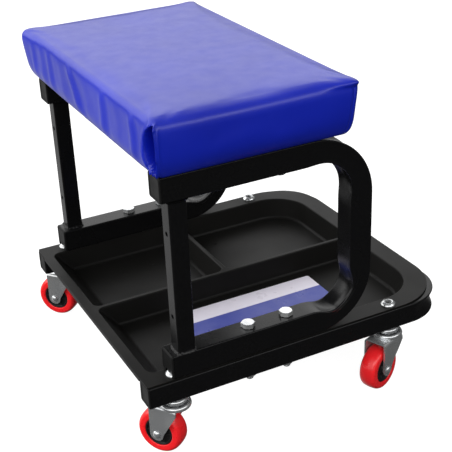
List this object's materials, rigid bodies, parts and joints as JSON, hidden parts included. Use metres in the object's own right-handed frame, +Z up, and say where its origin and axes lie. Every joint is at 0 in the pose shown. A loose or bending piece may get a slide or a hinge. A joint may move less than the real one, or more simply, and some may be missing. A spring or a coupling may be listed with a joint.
{
  "type": "rolling mechanic's stool",
  "caption": "Low rolling work stool: padded seat on two C-shaped tube frames over a divided tool tray, on swivel casters.",
  "frame": {"origin": "on the floor, at the middle of the whole outline with the casters as they stand; the stool's own mid plane is y = -6.3 mm", "axes": "+X from the open front, where the posts are, to the rounded rear; +Y across the stool; +Z up"},
  "size_m": [0.3662, 0.3751, 0.3646],
  "materials": {
    "seat_vinyl": "glossy blue vinyl with a fine grain",
    "seat_foam": "open-cell foam",
    "seat_board": "dark pressed board",
    "frame_paint": "black powder coat, semi-gloss",
    "cap_plastic": "black moulded plastic",
    "tray_plastic": "black satin moulded plastic",
    "label_film": "printed film, pale with a blue band",
    "zinc_steel": "bright zinc plate",
    "hub_plastic": "black nylon",
    "wheel_urethane": "glossy red polyurethane"
  },
  "bodies": {
    "stool": {"seat_cover": "seat_vinyl", "seat_foam": "seat_foam", "seat_board": "seat_board", "base_tube": "frame_paint", "tray": "tray_plastic", "tray_label": "label_film", "c_frame_near": "frame_paint", "front_post_near": "frame_paint", "base_cap_near": "cap_plastic", "frame_cap_lower_near": "cap_plastic", "frame_cap_upper_near": "cap_plastic", "frame_bolt_front_near": "zinc_steel", "frame_bolt_rear_near": "zinc_steel", "frame_nut_front_near": "zinc_steel", "frame_nut_rear_near": "zinc_steel", "seat_screw_front_near": "zinc_steel", "seat_screw_rear_near": "zinc_steel", "c_frame_far": "frame_paint", "front_post_far": "frame_paint", "base_cap_far": "cap_plastic", "frame_cap_lower_far": "cap_plastic", "frame_cap_upper_far": "cap_plastic", "frame_bolt_front_far": "zinc_steel", "frame_bolt_rear_far": "zinc_steel", "frame_nut_front_far": "zinc_steel", "frame_nut_rear_far": "zinc_steel", "seat_screw_front_far": "zinc_steel", "seat_screw_rear_far": "zinc_steel", "stem_front_near": "zinc_steel", "stem_nut_front_near": "zinc_steel", "upper_cup_front_near": "zinc_steel", "stem_front_far": "zinc_steel", "stem_nut_front_far": "zinc_steel", "upper_cup_front_far": "zinc_steel", "stem_rear_near": "zinc_steel", "stem_nut_rear_near": "zinc_steel", "upper_cup_rear_near": "zinc_steel", "stem_rear_far": "zinc_steel", "stem_nut_rear_far": "zinc_steel", "upper_cup_rear_far": "zinc_steel"},
    "caster_front_near": {"fork_front_near": "zinc_steel", "axle_front_near": "zinc_steel", "axle_bush_front_near": "zinc_steel"},
    "wheel_front_near": {"hub_front_near": "hub_plastic", "tyre_front_near": "wheel_urethane"},
    "caster_front_far": {"fork_front_far": "zinc_steel", "axle_front_far": "zinc_steel", "axle_bush_front_far": "zinc_steel"},
    "wheel_front_far": {"hub_front_far": "hub_plastic", "tyre_front_far": "wheel_urethane"},
    "caster_rear_near": {"fork_rear_near": "zinc_steel", "axle_rear_near": "zinc_steel", "axle_bush_rear_near": "zinc_steel"},
    "wheel_rear_near": {"hub_rear_near": "hub_plastic", "tyre_rear_near": "wheel_urethane"},
    "caster_rear_far": {"fork_rear_far": "zinc_steel", "axle_rear_far": "zinc_steel", "axle_bush_rear_far": "zinc_steel"},
    "wheel_rear_far": {"hub_rear_far": "hub_plastic", "tyre_rear_far": "wheel_urethane"}
  },
  "joints": [
    {"name": "swivel_front_near", "type": "hinge", "parent": "stool", "child": "caster_front_near", "pos_m": [-0.1505, -0.1637, 0.062], "axis": [0, 0, 1], "continuous": true},
    {"name": "spin_front_near", "type": "hinge", "parent": "caster_front_near", "child": "wheel_front_near", "pos_m": [-0.16049, -0.14995, 0.025], "axis": [-0.809, -0.5878, 0], "continuous": true},
    {"name": "swivel_front_far", "type": "hinge", "parent": "stool", "child": "caster_front_far", "pos_m": [-0.1505, 0.1511, 0.062], "axis": [0, 0, 1], "continuous": true},
    {"name": "spin_front_far", "type": "hinge", "parent": "caster_front_far", "child": "wheel_front_far", "pos_m": [-0.16165, 0.16393, 0.025], "axis": [-0.7547, -0.6561, 0], "continuous": true},
    {"name": "swivel_rear_near", "type": "hinge", "parent": "stool", "child": "caster_rear_near", "pos_m": [0.105, -0.1637, 0.062], "axis": [0, 0, 1], "continuous": true},
    {"name": "spin_rear_near", "type": "hinge", "parent": "caster_rear_near", "child": "wheel_rear_near", "pos_m": [0.08935, -0.17034, 0.025], "axis": [0.3907, -0.9205, 0], "continuous": true},
    {"name": "swivel_rear_far", "type": "hinge", "parent": "stool", "child": "caster_rear_far", "pos_m": [0.105, 0.1511, 0.062], "axis": [0, 0, 1], "continuous": true},
    {"name": "spin_rear_far", "type": "hinge", "parent": "caster_rear_far", "child": "wheel_rear_far", "pos_m": [0.08837, 0.15463, 0.025], "axis": [-0.2079, -0.9781, 0], "continuous": true}
  ]
}
